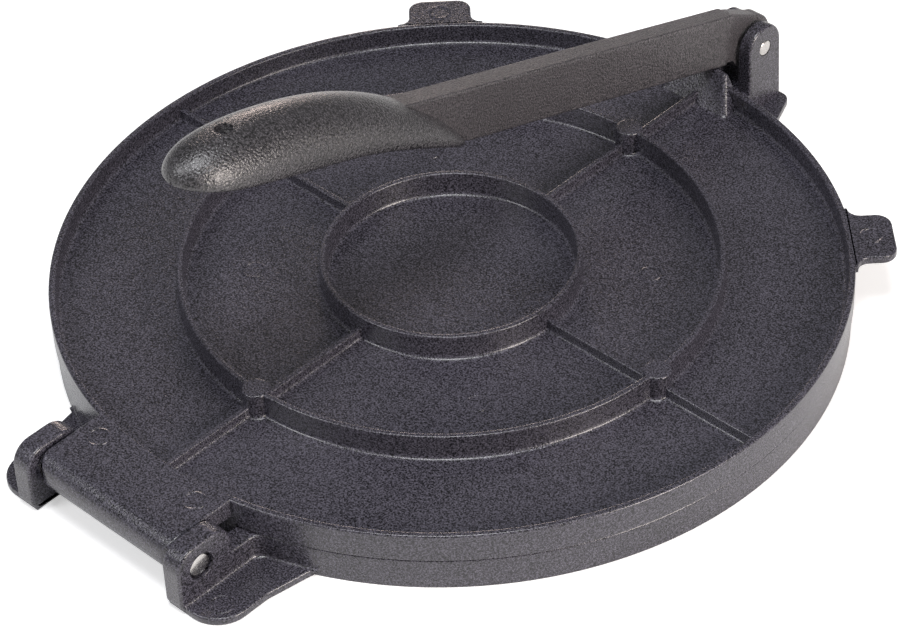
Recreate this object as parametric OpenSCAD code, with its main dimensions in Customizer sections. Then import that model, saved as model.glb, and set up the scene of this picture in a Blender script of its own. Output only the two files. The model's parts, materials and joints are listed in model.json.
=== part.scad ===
// Hand tortilla press. A ribbed lid swings on a flat base, and a lever with a hollow grip shuts it.
// X runs along the hinge pin, +Y points from the hinge to the lever's pivot, and +Z is up.
// The origin lies on the floor under the middle of the closed press. All sizes are in millimetres.

/* [Plates] */
// Diameter of the lid over its rim
lid_d = 260; // [252:1:280]
// How far the wall of the base stands inside the rim of the lid
base_inset = 0.6; // [0.2:0.1:1.5]
// Height of the base, from the floor to its press face
base_h = 11.3; // [10:0.1:15]
// Thickness of the plate in the base
base_plate_t = 4; // [3:0.1:6]
// Thickness of the wall round the base
base_wall_t = 3.5; // [2.5:0.1:5]
// Space left between the two press faces when the press is closed
face_gap = 0.3; // [0.2:0.1:1]
// Thickness of the floor of the lid
lid_floor_t = 3; // [2:0.1:4.5]
// Height of the rim above the floor of the lid
rim_h = 7.2; // [6:0.1:10]
// Thickness of the rim
rim_t = 2.3; // [1.8:0.1:4]
// Radius on the outer edges of the two plates
edge_r = 0.7; // [0.3:0.1:0.9]

/* [Rings and ribs] */
// Diameter of the outer ring, at the middle of its wall
outer_ring_d = 175.3; // [160:0.1:190]
// Diameter of the inner ring, at the middle of its wall
inner_ring_d = 83.3; // [70:0.1:100]
// Thickness of both rings
ring_t = 1.9; // [1.4:0.1:3]
// Height of both rings above the floor of the lid
ring_h = 8.8; // [7:0.1:11]
// Thickness of the ribs
rib_t = 2; // [1.4:0.1:3]
// Height of the ribs above the floor of the lid
rib_h = 3.8; // [2.5:0.1:5]
// Radius of the fillet at the foot of each wall
fillet_r = 1.1; // [0.6:0.1:1.6]
// Diameter of the four bosses where the ribs cross the outer ring
boss_d = 9; // [6:0.1:12]
// Depth of the rings and ribs under the base
base_rib_h = 5; // [3:0.1:6.5]
// Thickness of the rings and ribs under the base
base_rib_t = 3; // [2:0.1:4]

/* [Ejector marks] */
// Diameter of the round marks
mark_d = 7.7; // [5:0.1:9]
// Depth of the round marks
mark_depth = 0.25; // [0.1:0.05:0.5]

/* [Tabs] */
// Width of the two tabs that stand out from the rim
tab_w = 22; // [14:0.5:30]
// How far the tabs stand out from the rim
tab_reach = 13.5; // [10:0.5:20]
// Thickness of the tabs
tab_t = 3; // [2:0.1:4.5]
// Radius on the corners of the tabs
tab_corner_r = 5; // [2:0.5:6]
// Radius where the tabs meet the rim
tab_root_r = 4; // [2:0.5:6]
// Angle of the tabs from the X axis
tab_angle = 45; // [35:1:60]

/* [Hinge] */
// Distance from the rim to the axis of the hinge pin
hinge_reach = 16.4; // [16:0.1:20]
// How far the axis of the hinge pin lies below the top of the rim
hinge_drop = 7.6; // [7:0.1:9]
// Diameter of the hinge pin
hinge_pin_d = 7.5; // [6:0.1:9]
// How far each end of the hinge pin lies inside its ear
hinge_pin_inset = 0.6; // [0.2:0.1:1.5]
// Width of the mouth of the hole in each hinge ear
hinge_mouth_d = 9.3; // [9.2:0.1:11]
// Width of the tongue of the lid
tongue_w = 58; // [44:1:70]
// Thickness of the tongue
tongue_t = 7; // [5:0.1:8.5]
// Metal round the hinge pin at the end of the tongue
barrel_wall = 2.4; // [2:0.1:2.9]
// Gap between the tongue and each hinge ear
hinge_side_gap = 0.8; // [0.4:0.1:1.5]
// Thickness of the hinge ears
hinge_ear_t = 7.2; // [5:0.1:10]
// How far the hinge ears reach in front of the axis of the pin
hinge_ear_front = 9.2; // [8.8:0.1:13]
// How far the hinge ears reach behind the axis of the pin
hinge_ear_back = 12.4; // [10:0.1:14]
// Height of the hinge ears above the axis of the pin
hinge_ear_rise = 8.8; // [8:0.1:11]
// Radius on the upper corners of the hinge ears
hinge_ear_r = 7; // [4:0.1:8]
// Radius on the lower front corner of the hinge ears
hinge_ear_toe_r = 4; // [3:0.1:5]
// How far the foot stands out beside each hinge ear
hinge_foot_reach = 14; // [10:0.5:18]
// Radius on the front corner of the hinge foot
hinge_foot_corner_r = 11; // [6:0.5:13]
// How far the foot starts behind the front of its ear
hinge_foot_setback = 1.2; // [0.5:0.1:3]
// How much wider the foot is where it meets the base
hinge_foot_flare = 3; // [1:0.5:5]
// Radius where the web behind each hinge ear meets the base
hinge_web_r = 5; // [3:0.5:6]

/* [Clevis] */
// Distance from the rim to the pivot of the lever
pivot_reach = 19; // [18:0.1:24]
// Height of the pivot above the top of the rim
pivot_rise = 4.75; // [4:0.05:6]
// Diameter of the lever pin
pivot_pin_d = 6; // [5:0.1:7.5]
// How far each domed end of the lever pin stands out
pivot_pin_dome = 0.5; // [0.3:0.1:0.8]
// Width of the clevis at its top
clevis_w = 17.6; // [16:0.1:22]
// How much wider each side of the clevis is at its foot
clevis_draft = 1.2; // [0.5:0.1:2]
// Radius of the clevis about the pivot
clevis_r = 8.4; // [7:0.1:9]
// Width of the slot in the clevis
slot_w = 7.6; // [7:0.1:9]
// Thickness of the feet beside the hinge ears and the clevis
foot_t = 2.8; // [2:0.1:4]
// How far the foot stands out behind the clevis
clevis_foot_reach = 1.2; // [0.3:0.1:1.6]
// How far the foot stands out beside the clevis at its free end
clevis_foot_side = 3; // [2:0.5:6]
// Width of the foot where it meets the base
clevis_foot_root_w = 52; // [40:1:60]
// Radius on the corners of the foot at its free end
clevis_foot_corner_r = 4; // [2:0.5:5]

/* [Pressing block] */
// Width of the pressing block at its foot
block_w = 28.4; // [22:0.2:34]
// Width of the pressing block at its top
block_top_w = 14; // [10:0.5:18]
// Depth of the pressing block at its foot, measured in from the rim
block_depth = 8.5; // [7:0.1:12]
// Depth of the pressing block at its top
block_top_depth = 3; // [2.5:0.1:5]
// Gap between the pressing block and the underside of the lever
block_gap = 0.3; // [0.2:0.05:0.6]
// Radius on the inner edge of its top
block_nose_r = 1; // [0.5:0.1:1.5]

/* [Lever] */
// Angle at which the lever rises towards the grip when the press is closed
lever_rise = 18; // [16:0.5:22]
// Length of the lever from its pivot to the tip of the grip
lever_l = 276; // [260:1:290]
// How far the underside of the bar lies below the line through the pivot
bar_drop = 6.6; // [5.5:0.1:7]
// Height of the bar
bar_h = 19.4; // [16:0.1:22]
// Width of the bar at the grip
bar_w = 8; // [7.5:0.1:11]
// Width of the bar at the hub
bar_hub_w = 7; // [6:0.1:7.4]
// Radius of the hub
hub_r = 10; // [8.6:0.1:10.5]
// Gap between the hub and each side of the slot
hub_side_gap = 0.5; // [0.2:0.1:0.8]
// Distance from the clevis to the start of the bar
bar_clearance = 1.5; // [1:0.1:3]
// How much further out the bar starts at its top
bar_lean = 5; // [3:0.1:7]

/* [Grip] */
// Length of the grip
grip_l = 130; // [115:1:140]
// Distance from the highest point of the grip to its tip
grip_tip_l = 44.5; // [38:0.5:55]
// Width of the grip
grip_w = 27; // [24:0.5:34]
// Height of the dome of the grip above its side edges
grip_dome_h = 15.9; // [13:0.1:18]
// Height of the side edges of the grip above the line through the pivot
grip_edge_rise = 6.4; // [5:0.1:8]
// Length over which the side edges sweep up from the bar to that height
grip_sweep_l = 70; // [55:1:80]
// Wall of the grip
grip_wall = 3; // [2.4:0.1:3.6]
// How far the bar runs on into the grip
bar_overlap = 37; // [34:1:44]
// Diameter of the hole for hanging
hang_hole_d = 5.5; // [4:0.1:7]
// Distance from the hole for hanging to the tip
hang_hole_reach = 18.5; // [14:0.5:26]

/* [Fits] */
// Radial clearance between a pin and the piece that turns on it
running_fit = 0.05; // [0.02:0.01:0.1]

/* [Hidden] */
$fn = 96;

cast_colour = [0.25, 0.24, 0.28];
steel_colour = [0.78, 0.77, 0.74];

// Each arc of an outline has this many steps
arc_steps = 5;
// A cut runs this far past the face that it opens
past = 1;

lid_r = lid_d / 2;
base_r = lid_r - base_inset;
lid_z = base_h + face_gap;
floor_z = lid_z + lid_floor_t;
rim_z = floor_z + rim_h;
rim_inner_r = lid_r - rim_t;
base_plate_z = base_h - base_plate_t;
outer_ring_r = outer_ring_d / 2;
inner_ring_r = inner_ring_d / 2;
floor_mark_r = (outer_ring_r + inner_ring_r) / 2;
quarter_turns = [0, 90, 180, 270];
floor_mark_angles = [-40, 40, 140, 220];

// The ribs stand this much wider at each side of their foot
rib_foot_w = rib_t / 2 + fillet_r;
ring_edge_r = ring_t / 4;

hinge_y = -(lid_r + hinge_reach);
hinge_z = rim_z - hinge_drop;
hinge_bore_r = hinge_pin_d / 2 + running_fit;
barrel_r = hinge_bore_r + barrel_wall;
ear_in_x = tongue_w / 2 + hinge_side_gap;
ear_out_x = ear_in_x + hinge_ear_t;
ear_front_y = hinge_y - hinge_ear_front;
ear_back_y = hinge_y + hinge_ear_back;
ear_top_z = hinge_z + hinge_ear_rise;
hinge_mouth_depth = (hinge_mouth_d - hinge_pin_d) / 2;

pivot_y = lid_r + pivot_reach;
pivot_z = rim_z + pivot_rise;
clevis_front_y = pivot_y - clevis_r;
clevis_back_y = pivot_y + clevis_r;
clevis_top_z = pivot_z + clevis_r;
// The middle of the plates lies this far from the middle of the whole press
plates_y = -(ear_front_y + max(pivot_y + hub_r, clevis_back_y + clevis_foot_reach)) / 2;
// The clevis foot flares from its free end towards the base
clevis_foot_end_w = clevis_w + 2 * (clevis_draft + clevis_foot_side);

hub_w = slot_w - 2 * hub_side_gap;
bar_top = bar_h - bar_drop;
// The full width of the bar starts clear of the clevis, further out at its top
bar_start = clevis_r + bar_clearance;
bar_start_top = bar_start + bar_lean;
bar_end = lever_l - grip_l + bar_overlap;

grip_start = lever_l - grip_l;
grip_crown_at = lever_l - grip_tip_l;
grip_root_l = grip_l - grip_tip_l;
grip_top = grip_edge_rise + grip_dome_h;
// Powers that shape the grip: a flat-sided plan, a crown that falls to the bar and to a blunt tip,
// and a sweep of its side edges
plan_power = 4.8;
root_power = 0.87;
tip_power = 0.43;
sweep_power = 1.85;
grip_fn = 32;
slice_t = 0.2;
// The grip is drawn as slices at shares of the way from its highest point to its ends,
// and its hollow starts this many slices later at the bar
slices = 9;
hollow_late = 2;
outer_reach = 0.998;
hollow_reach = 0.93;
outer_shares = [for (i = [-slices : slices]) outer_reach * sin(90 * i / slices)];
hollow_shares = [for (i = [hollow_late - slices : slices]) hollow_reach * sin(90 * i / slices)];

// Unit vector along v
function unit(v) = v / norm(v);

// Points of the arc of radius b.z that rounds the corner b between a and c
function corner_arc(a, b, c) =
    let (
        corner = [b.x, b.y],
        to_a = unit([a.x, a.y] - corner),
        to_c = unit([c.x, c.y] - corner),
        half = acos(to_a * to_c) / 2,
        centre = corner + unit(to_a + to_c) * b.z / sin(half),
        first = corner + to_a * b.z / tan(half) - centre,
        turn = cross(to_a, to_c) > 0 ? 2 * half - 180 : 180 - 2 * half,
        from = atan2(first.y, first.x)
    )
    [for (i = [0 : arc_steps])
        let (at = from + turn * i / arc_steps)
        centre + b.z * [cos(at), sin(at)]];

// Outline through corners given as [x, y, radius]
function rounded(corners) =
    let (n = len(corners))
    [for (i = [0 : n - 1])
        let (b = corners[i])
        each b.z > 0 ? corner_arc(corners[(i + n - 1) % n], b, corners[(i + 1) % n]) : [[b.x, b.y]]];

// Height of the underside of the closed lever at the place y
function lever_under_z(y) =
    pivot_z - bar_drop * cos(lever_rise) + (pivot_y - bar_drop * sin(lever_rise) - y) * tan(lever_rise);

// Corners of a ring wall of mean radius r on the floor of the lid, from the outside in
function ring_corners(r) = [
    [r + ring_t / 2, floor_z, fillet_r],
    [r + ring_t / 2, floor_z + ring_h, ring_edge_r],
    [r - ring_t / 2, floor_z + ring_h, ring_edge_r],
    [r - ring_t / 2, floor_z, fillet_r]
];

// Extrudes an outline drawn in (Y, Z) along X, from -w / 2 to w / 2
module along_x(w) {
    rotate([90, 0, 90])
        linear_extrude(height = w, center = true)
            children();
}

// Extrudes an outline drawn in (X, Z) along Y, from y_from to y_to
module along_y(y_from, y_to) {
    translate([0, y_to, 0])
        rotate([90, 0, 0])
            linear_extrude(height = y_to - y_from)
                children();
}

// Bar along X with round section
module rod(r, length) {
    rotate([0, 90, 0])
        cylinder(r = r, h = length, center = true);
}

// Draws its children at the hinge axis, the pivot or a place on the lever
module at_hinge() {
    translate([0, hinge_y, hinge_z])
        children();
}

module at_pivot() {
    translate([0, pivot_y, pivot_z])
        children();
}

// On the lever, s runs from the pivot to the grip and n stands square to the bar
module on_lever(s, n) {
    translate([0, -s, n])
        children();
}

// Moves a piece drawn about the middle of the plates to its place in the press
module in_place() {
    translate([0, plates_y, 0])
        children();
}

module both_sides() {
    children();
    mirror([1, 0, 0])
        children();
}

module mark(x, y, z) {
    translate([x, y, z - mark_depth])
        cylinder(d = mark_d, h = mark_depth + past);
}

// Surface of revolution of the lid: floor, rim and both rings
module lid_plate() {
    corners = [
        [0, lid_z, 0],
        [lid_r, lid_z, edge_r],
        [lid_r, rim_z, edge_r],
        [rim_inner_r, rim_z, edge_r],
        [rim_inner_r, floor_z, fillet_r],
        each ring_corners(outer_ring_r),
        each ring_corners(inner_ring_r),
        [0, floor_z, 0]
    ];
    rotate_extrude($fn = 180)
        polygon(rounded(corners));
}

// Rib from the inner ring to the rim, with a fillet along both sides of its foot
module lid_rib() {
    half = rib_t / 2;
    corners = [
        [-rib_foot_w, floor_z - past, 0],
        [rib_foot_w, floor_z - past, 0],
        [rib_foot_w, floor_z, 0],
        [half, floor_z, fillet_r],
        [half, floor_z + rib_h, half / 2],
        [-half, floor_z + rib_h, half / 2],
        [-half, floor_z, fillet_r],
        [-rib_foot_w, floor_z, 0]
    ];
    along_y(inner_ring_r, lid_r - rim_t / 2)
        polygon(rounded(corners));
}

module lid_boss() {
    corners = [
        [0, floor_z - past, 0],
        [boss_d / 2 + fillet_r, floor_z - past, 0],
        [boss_d / 2 + fillet_r, floor_z, 0],
        [boss_d / 2, floor_z, fillet_r],
        [boss_d / 2, floor_z + ring_h, fillet_r],
        [0, floor_z + ring_h, 0]
    ];
    translate([0, outer_ring_r, 0])
        rotate_extrude($fn = 48)
            polygon(rounded(corners));
}

// Thin tab flush with the top of the rim, drawn along +X
module tab() {
    end_x = lid_r + tab_reach;
    root_x = lid_r - rim_t / 2;
    half = tab_w / 2;
    corners = [
        [root_x, -half - tab_root_r, 0],
        [lid_r, -half - tab_root_r, 0],
        [lid_r, -half, tab_root_r],
        [end_x, -half, tab_corner_r],
        [end_x, half, tab_corner_r],
        [lid_r, half, tab_root_r],
        [lid_r, half + tab_root_r, 0],
        [root_x, half + tab_root_r, 0]
    ];
    difference() {
        translate([0, 0, rim_z - tab_t])
            linear_extrude(height = tab_t)
                polygon(rounded(corners));
        mark(lid_r + tab_reach / 2, 0, rim_z);
    }
}

// Tongue that carries the hinge barrel, flush with the top of the rim
module tongue() {
    root_y = -rim_inner_r;
    nose_z = rim_z - barrel_r;
    corners = [
        [root_y, rim_z - tongue_t],
        [root_y, rim_z],
        [hinge_y, rim_z],
        [hinge_y, rim_z - tongue_t]
    ];
    nose_y = hinge_y - barrel_r;
    half = tongue_w / 2;
    plan = [
        [-half, root_y, 0],
        [-half, nose_y, barrel_wall],
        [half, nose_y, barrel_wall],
        [half, root_y, 0]
    ];
    intersection() {
        along_x(tongue_w)
            union() {
                polygon(corners);
                translate([hinge_y, hinge_z])
                    circle(r = barrel_r);
                translate([hinge_y, nose_z])
                    circle(r = barrel_r);
                translate([nose_y, hinge_z])
                    square([barrel_r, nose_z - hinge_z]);
            }
        linear_extrude(height = rim_z + past)
            polygon(rounded(plan));
    }
}

// Pressing block that leans in from the rim and ends just under the closed lever
module pressing_block() {
    foot_y = lid_r - block_depth;
    top_y = lid_r - block_top_depth;
    top_z = lever_under_z(top_y) - block_gap;
    back_z = lever_under_z(lid_r) - block_gap;
    side = [
        [foot_y, floor_z - past, 0],
        [lid_r, floor_z - past, 0],
        [lid_r, back_z, 0],
        [top_y, top_z, block_nose_r],
        [foot_y, floor_z, 0]
    ];
    front = [
        [-block_w / 2, floor_z - past, 0],
        [block_w / 2, floor_z - past, 0],
        [block_w / 2, floor_z, 0],
        [block_top_w / 2, top_z, block_top_depth],
        [-block_top_w / 2, top_z, block_top_depth],
        [-block_w / 2, floor_z, 0]
    ];
    intersection() {
        along_x(block_w)
            polygon(rounded(side));
        along_y(foot_y, lid_r)
            polygon(rounded(front));
        cylinder(r = lid_r, h = clevis_top_z, $fn = 180);
    }
}

module lid() {
    tongue_mark_x = tongue_w / 2 - mark_d;
    tongue_mark_y = -(lid_r + mark_d / 2);
    color(cast_colour)
        in_place()
            difference() {
                union() {
                    lid_plate();
                    for (turn = quarter_turns)
                        rotate([0, 0, turn]) {
                            lid_rib();
                            lid_boss();
                        }
                    for (turn = [tab_angle, 180 - tab_angle])
                        rotate([0, 0, turn])
                            tab();
                    tongue();
                    pressing_block();
                }
                at_hinge()
                    rod(hinge_bore_r, tongue_w + 2 * past);
                for (turn = floor_mark_angles)
                    rotate([0, 0, turn])
                        mark(floor_mark_r, 0, floor_z);
                both_sides()
                    mark(tongue_mark_x, tongue_mark_y, rim_z);
            }
}

// Plate and wall of the base, with the hollow below it open to the floor
module base_plate() {
    inner_r = base_r - base_wall_t;
    corners = [
        [0, base_plate_z, 0],
        [inner_r, base_plate_z, fillet_r],
        [inner_r, 0, 0],
        [base_r, 0, 0],
        [base_r, base_h, edge_r],
        [0, base_h, 0]
    ];
    rotate_extrude($fn = 180)
        polygon(rounded(corners));
}

// Rings and ribs that stiffen the base from below and stay clear of the floor
module base_stiffening() {
    stiffening_z = base_plate_z - base_rib_h;
    height = base_rib_h + past;
    for (r = [inner_ring_r, outer_ring_r])
        translate([0, 0, stiffening_z])
            rotate_extrude()
                translate([r - base_rib_t / 2, 0])
                    square([base_rib_t, height]);
    for (turn = quarter_turns)
        rotate([0, 0, turn])
            translate([-base_rib_t / 2, inner_ring_r, stiffening_z])
                cube([base_rib_t, base_r - base_wall_t / 2 - inner_ring_r, height]);
}

// Ear of the base at one end of the hinge pin, with its web and its foot
module hinge_ear() {
    root_y = -(base_r - base_wall_t);
    foot_x = ear_out_x + hinge_foot_reach;
    foot_front_y = ear_front_y + hinge_foot_setback;
    foot_root_x = foot_x + hinge_foot_flare;
    foot_root_y = -sqrt(pow(base_r - base_wall_t / 2, 2) - pow(foot_root_x, 2));
    side = [
        [ear_front_y, 0, hinge_ear_toe_r],
        [ear_front_y, ear_top_z, hinge_ear_r],
        [ear_back_y, ear_top_z, hinge_ear_r],
        [ear_back_y, 0, 0]
    ];
    foot = [
        [ear_in_x, foot_front_y, 0],
        [foot_x, foot_front_y, hinge_foot_corner_r],
        [foot_x, ear_back_y, 0],
        [foot_root_x, foot_root_y, 0],
        [ear_in_x, foot_root_y, 0]
    ];
    web_end_x = ear_out_x + 2 * hinge_web_r;
    web = [
        [ear_in_x, ear_back_y - past, 0],
        [ear_out_x, ear_back_y - past, 0],
        [ear_out_x, -sqrt(pow(base_r, 2) - pow(ear_out_x, 2)), hinge_web_r],
        [web_end_x, -sqrt(pow(base_r - edge_r, 2) - pow(web_end_x, 2)), 0],
        [ear_in_x, root_y, 0]
    ];
    mark_x = ear_out_x + hinge_foot_reach / 2;
    difference() {
        union() {
            translate([ear_in_x + hinge_ear_t / 2, 0, 0])
                along_x(hinge_ear_t)
                    polygon(rounded(side));
            linear_extrude(height = base_h)
                polygon(rounded(web));
            difference() {
                linear_extrude(height = foot_t)
                    polygon(rounded(foot));
                cylinder(r = base_r - base_wall_t, h = 2 * (foot_t + past), center = true);
            }
        }
        at_hinge()
            translate([ear_out_x - hinge_ear_t / 2, 0, 0])
                rod(hinge_pin_d / 2, hinge_ear_t + 2 * past);
        at_hinge()
            translate([ear_out_x - hinge_mouth_depth, 0, 0])
                rotate([0, 90, 0])
                    cylinder(d1 = hinge_pin_d, d2 = hinge_mouth_d, h = hinge_mouth_depth);
        mark(mark_x, hinge_y, foot_t);
    }
}

// Forked bracket that carries the lever pin, with its web and its foot
module clevis() {
    foot_w = clevis_w + 2 * clevis_draft;
    root_y = base_r - base_wall_t;
    foot_end_y = clevis_back_y + clevis_foot_reach;
    section = [
        [-foot_w / 2, 0],
        [foot_w / 2, 0],
        [clevis_w / 2, clevis_top_z],
        [-clevis_w / 2, clevis_top_z]
    ];
    foot = [
        [-clevis_foot_root_w / 2, root_y, 0],
        [clevis_foot_root_w / 2, root_y, 0],
        [clevis_foot_end_w / 2, foot_end_y, clevis_foot_corner_r],
        [-clevis_foot_end_w / 2, foot_end_y, clevis_foot_corner_r]
    ];
    difference() {
        union() {
            intersection() {
                along_y(root_y, clevis_back_y)
                    polygon(section);
                along_x(foot_w)
                    union() {
                        translate([root_y, 0])
                            square([clevis_back_y - root_y, base_h]);
                        translate([clevis_front_y, 0])
                            square([2 * clevis_r, pivot_z]);
                        translate([pivot_y, pivot_z])
                            circle(r = clevis_r);
                    }
            }
            difference() {
                linear_extrude(height = foot_t)
                    polygon(rounded(foot));
                cylinder(r = base_r - base_wall_t, h = 2 * (foot_t + past), center = true);
            }
        }
        translate([-slot_w / 2, clevis_front_y - past, base_h])
            cube([slot_w, 2 * (clevis_r + past), clevis_top_z]);
        at_pivot()
            rod(pivot_pin_d / 2, foot_w + 2 * past);
    }
}

module base() {
    color(cast_colour)
        in_place()
            union() {
                base_plate();
                base_stiffening();
                both_sides()
                    hinge_ear();
                clevis();
            }
}

module hinge_pin() {
    color(steel_colour)
        in_place()
            at_hinge()
                rod(hinge_pin_d / 2, 2 * (ear_out_x - hinge_pin_inset));
}

// Pin with a shallow dome at each end
module lever_pin() {
    draft_share = clevis_r / clevis_top_z;
    half = clevis_w / 2 + clevis_draft * draft_share;
    profile = [
        [0, -half - pivot_pin_dome, 0],
        [pivot_pin_d / 2, -half, 0],
        [pivot_pin_d / 2, half, 0],
        [0, half + pivot_pin_dome, 0]
    ];
    color(steel_colour)
        in_place()
            at_pivot()
                rotate([0, 90, 0])
                    rotate_extrude()
                        polygon(rounded(profile));
}

// Bar of the lever from the hub into the grip, narrower towards the hub
module bar() {
    side = [
        [-bar_start, -bar_drop],
        [-bar_start_top, bar_top],
        [-bar_end, bar_top],
        [-bar_end, -bar_drop]
    ];
    plan = [
        [-bar_hub_w / 2, -bar_start],
        [bar_hub_w / 2, -bar_start],
        [bar_w / 2, -bar_end],
        [-bar_w / 2, -bar_end]
    ];
    intersection() {
        along_x(bar_w)
            polygon(side);
        translate([0, 0, -bar_drop])
            linear_extrude(height = bar_h)
                polygon(plan);
    }
}

// Hub that turns on the lever pin, with a hump that runs on into the top of the bar
module hub() {
    hump = [
        [0, -bar_drop],
        [0, hub_r],
        [-bar_start_top, bar_top],
        [-bar_start_top - past, -bar_drop]
    ];
    along_x(hub_w)
        union() {
            circle(r = hub_r);
            polygon(hump);
        }
}

// Place along the lever, half-width, edge height and crown height of the grip at a share of its length
function grip_s(share) = grip_crown_at + share * (share < 0 ? grip_root_l : grip_tip_l);
function grip_half(share) = grip_w / 2 * sqrt(1 - pow(abs(share), plan_power));
function grip_edge(s) =
    grip_edge_rise
    - (grip_edge_rise + bar_drop) * pow(max(0, 1 - (s - grip_start) / grip_sweep_l), sweep_power);
function grip_crown(share) =
    let (low = share < 0 ? -bar_drop : grip_edge_rise)
    low + (grip_top - low) * pow(1 - share * share, share < 0 ? root_power : tip_power);

// Dome of the grip through elliptical slices, each drawn smaller by inset
module grip_dome(shares, inset) {
    hull()
        for (share = shares) {
            s = grip_s(share);
            edge = grip_edge(s);
            on_lever(s, edge)
                rotate([90, 0, 0])
                    linear_extrude(height = slice_t, center = true)
                        scale([grip_half(share) - inset, grip_crown(share) - edge - inset])
                            circle(r = 1, $fn = grip_fn);
        }
}

// Space under the lever, from the end of the bar along the side edges of the grip
module under_grip() {
    end_s = lever_l + past;
    below = -grip_top;
    sweep = [for (share = outer_shares) [-grip_s(share), grip_edge(grip_s(share))]];
    along_x(grip_w + past)
        polygon([
            [-grip_start, below],
            each sweep,
            [-end_s, grip_edge_rise],
            [-end_s, below]
        ]);
}

module hang_hole() {
    on_lever(lever_l - hang_hole_reach, grip_edge_rise)
        cylinder(d = hang_hole_d, h = grip_dome_h + past);
}

module lever() {
    color(cast_colour)
        in_place()
            at_pivot()
                rotate([-lever_rise, 0, 0])
                    difference() {
                        union() {
                            hub();
                            bar();
                            difference() {
                                grip_dome(outer_shares, 0);
                                grip_dome(hollow_shares, grip_wall);
                            }
                        }
                        under_grip();
                        hang_hole();
                        rod(pivot_pin_d / 2 + running_fit, bar_w + 2 * past);
                    }
}

base();
lid();
lever();
hinge_pin();
lever_pin();
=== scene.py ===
import json
import math

import bmesh
import bpy
import numpy as np
from mathutils import Matrix, Vector


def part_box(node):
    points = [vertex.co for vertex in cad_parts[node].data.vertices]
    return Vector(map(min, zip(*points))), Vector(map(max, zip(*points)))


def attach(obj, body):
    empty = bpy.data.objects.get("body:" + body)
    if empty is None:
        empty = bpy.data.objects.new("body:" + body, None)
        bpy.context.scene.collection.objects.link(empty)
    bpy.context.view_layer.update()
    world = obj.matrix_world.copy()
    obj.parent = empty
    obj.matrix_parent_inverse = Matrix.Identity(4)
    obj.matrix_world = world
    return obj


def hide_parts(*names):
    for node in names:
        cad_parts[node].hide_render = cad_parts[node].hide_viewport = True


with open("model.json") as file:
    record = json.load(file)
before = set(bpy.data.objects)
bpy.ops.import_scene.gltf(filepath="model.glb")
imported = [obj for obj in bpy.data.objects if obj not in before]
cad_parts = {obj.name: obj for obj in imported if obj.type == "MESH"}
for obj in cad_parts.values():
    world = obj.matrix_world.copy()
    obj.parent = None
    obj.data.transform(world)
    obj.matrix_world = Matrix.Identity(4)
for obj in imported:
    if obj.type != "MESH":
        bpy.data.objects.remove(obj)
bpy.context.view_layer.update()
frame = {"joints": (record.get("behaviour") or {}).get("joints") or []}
print("stage 1: frame loaded")

mm = 0.001
jointPlace = {joint["name"]: Vector(joint["pos_m"]) for joint in frame["joints"]}
hinge = jointPlace["lid_hinge"]
pivot = jointPlace["lever_pivot"]

# Levels and radii that several pieces share, in metres. The lid's box gives the outer radius, and the
# base's box the top of the clevis
_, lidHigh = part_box("lid")
_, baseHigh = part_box("base")
plates = dict(
    y=-1.7 * mm,               # middle of both plates
    lidRadius=lidHigh.x,
    baseRadius=lidHigh.x - 0.6 * mm,
    baseTop=11.3 * mm,
    lidUnder=11.6 * mm,
    floor=14.6 * mm,           # upper face of the lid's plate, inside the rim
    rimTop=21.8 * mm,
    ringTop=23.3 * mm,
    outerRing=87.65 * mm,
    innerRing=41.65 * mm,
)
sunk = 1.0 * mm                # a piece that stands on another or against it starts this far inside it
apart = 0.02 * mm              # keeps two level faces out of one plane
halfRound = 0.98               # two corner arcs that make a half round have this share of its radius
quarterTurns = [k * math.pi / 2 for k in range(4)]


# ---- shapes as arrays

roundSteps = dict(plate=256, stiffening=192, pin=64, small=48)
fineStep = 1.2 * mm            # step of an outline that has a hole
shortest = 1e-7                # shorter steps of an outline are dropped
tiny = 1e-12                   # keeps a division off zero
weld = 2e-6                    # vertices nearer than this become one
edgePoints = 5                 # points across a slab's rounded edge
capRing = 0.1 * mm             # a rounded slab's cap has a ring this far inside its edge, to stay flat


def unitRows(rows):
    return rows / np.maximum(np.linalg.norm(rows, axis=-1, keepdims=True), tiny)


# Outline through corners [x, y, radius]: each corner becomes the arc of its radius that touches both edges
def roundedOutline(corners, steps=6):
    corners = np.array(corners, float)
    points, radii = corners[:, :2], corners[:, 2:]
    toLast = unitRows(np.roll(points, 1, 0) - points)
    toNext = unitRows(np.roll(points, -1, 0) - points)
    half = np.arccos(np.clip((toLast * toNext).sum(1, keepdims=True), -1, 1)) / 2
    centre = points + unitRows(toLast + toNext) * radii / np.sin(half)
    reach = radii / np.tan(half)
    first = points + toLast * reach - centre
    last = points + toNext * reach - centre
    start = np.arctan2(first[:, 1], first[:, 0])
    sweep = (np.arctan2(last[:, 1], last[:, 0]) - start + np.pi) % (2 * np.pi) - np.pi
    angle = start[:, None] + sweep[:, None] * np.linspace(0, 1, steps + 1)
    arcs = centre[:, None] + radii[:, None] * np.stack([np.cos(angle), np.sin(angle)], -1)
    outline = arcs.reshape(-1, 2)
    keep = np.linalg.norm(outline - np.roll(outline, 1, 0), axis=1) > shortest
    return outline[keep]


# Points added so that no step of a closed outline is longer than the given one
def evenOutline(outline, step):
    ring = np.vstack([outline, outline[:1]])
    length = np.linalg.norm(np.diff(ring, axis=0), axis=1)
    travelled = np.concatenate([[0], np.cumsum(length)])
    extra = np.arange(0, travelled[-1], step)
    at = np.unique(np.round(np.concatenate([travelled[:-1], extra]), decimals=7))
    return np.stack([np.interp(at, travelled, ring[:, k]) for k in (0, 1)], 1)


# Quads between neighbouring rows of a grid of vertices, closed across each row
def gridQuads(rows, columns):
    row = np.arange(rows - 1)[:, None]
    column = np.arange(columns)[None, :]
    after = (column + 1) % columns
    a, b = row * columns + column, row * columns + after
    return np.stack([a, b, b + columns, a + columns], -1).reshape(-1, 4)


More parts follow.
